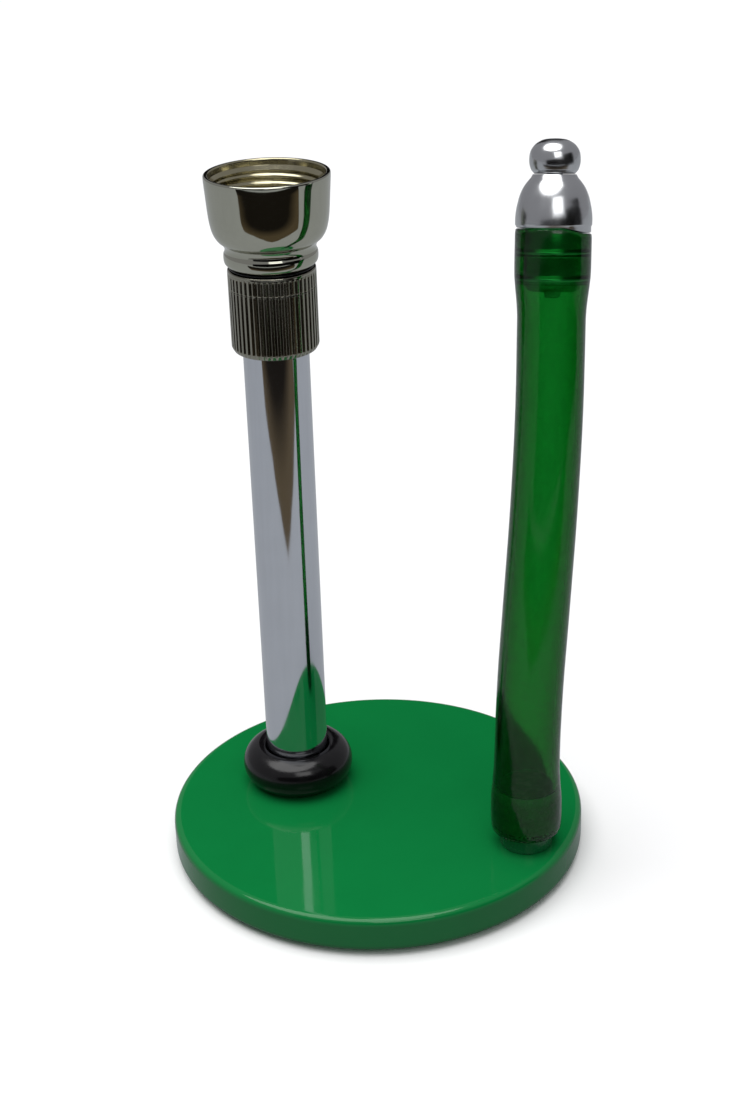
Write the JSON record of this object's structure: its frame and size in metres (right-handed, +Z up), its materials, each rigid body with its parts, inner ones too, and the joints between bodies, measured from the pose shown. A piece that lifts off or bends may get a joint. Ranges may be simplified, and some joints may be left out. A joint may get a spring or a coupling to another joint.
{
  "type": "paper towel holder",
  "caption": "Countertop paper towel holder: round base, chrome post with a fluted collar and a cup-shaped top, and a springy hose arm that holds the roll from outside.",
  "frame": {"origin": "on the plane the feet stand on, on the axis of the base, which is the middle of the whole object's box", "axes": "+Z up along the post, +X from the post to the foot of the hose arm, +Y the side that the hose bows to"},
  "size_m": [0.15, 0.15, 0.2574],
  "materials": {
    "base_green": "polished, rounded edges",
    "bumper": "clear matt",
    "steel": "plain machined",
    "chrome": "mirror polished",
    "nickel": "satin, straight flutes",
    "black_rubber": "smooth, slightly glossy",
    "spigot_green": "moulded, smooth",
    "hose_green": "translucent soft PVC, smooth"
  },
  "bodies": {
    "base": {"base_disc": "base_green", "foot_pad_1": "bumper", "foot_pad_2": "bumper", "foot_pad_3": "bumper", "foot_pad_4": "bumper", "post_screw": "steel", "post_washer": "steel", "post_foot_plug": "steel", "post_tube": "chrome", "rubber_ring": "black_rubber", "collar_snap_ring": "steel", "post_top_plug": "steel", "arm_screw": "steel", "arm_washer": "steel", "hose_spigot": "spigot_green", "hose_end": "hose_green"},
    "collar": {"fluted_collar": "nickel"},
    "gasket": {"cup_gasket": "black_rubber"},
    "cup": {"threaded_cup": "chrome"},
    "arm": {"hose": "hose_green", "hose_tip": "chrome", "tip_knob": "chrome"}
  },
  "joints": [
    {"name": "collar_turn", "type": "hinge", "parent": "base", "child": "collar", "pos_m": [-0.034, 0, 0.1995], "axis": [0, 0, 1], "continuous": true},
    {"name": "cup_turn", "type": "hinge", "parent": "base", "child": "gasket", "pos_m": [-0.034, 0, 0.2145], "axis": [0, 0, 1], "range_deg": [0, 2160]},
    {"name": "cup_lift", "type": "slide", "parent": "gasket", "child": "cup", "axis": [0, 0, 1], "range_m": [0, 0.00601]},
    {"name": "arm_flex", "type": "hinge", "parent": "base", "child": "arm", "pos_m": [0.0605, 0, 0.0365], "axis": [0, 1, 0], "range_deg": [-6, 14], "stiffness_Nm_per_rad": 5}
  ],
  "couplings": [
    {"joint": "cup_lift", "follows": "cup_turn", "m_per_rad": 0.00015915}
  ]
}
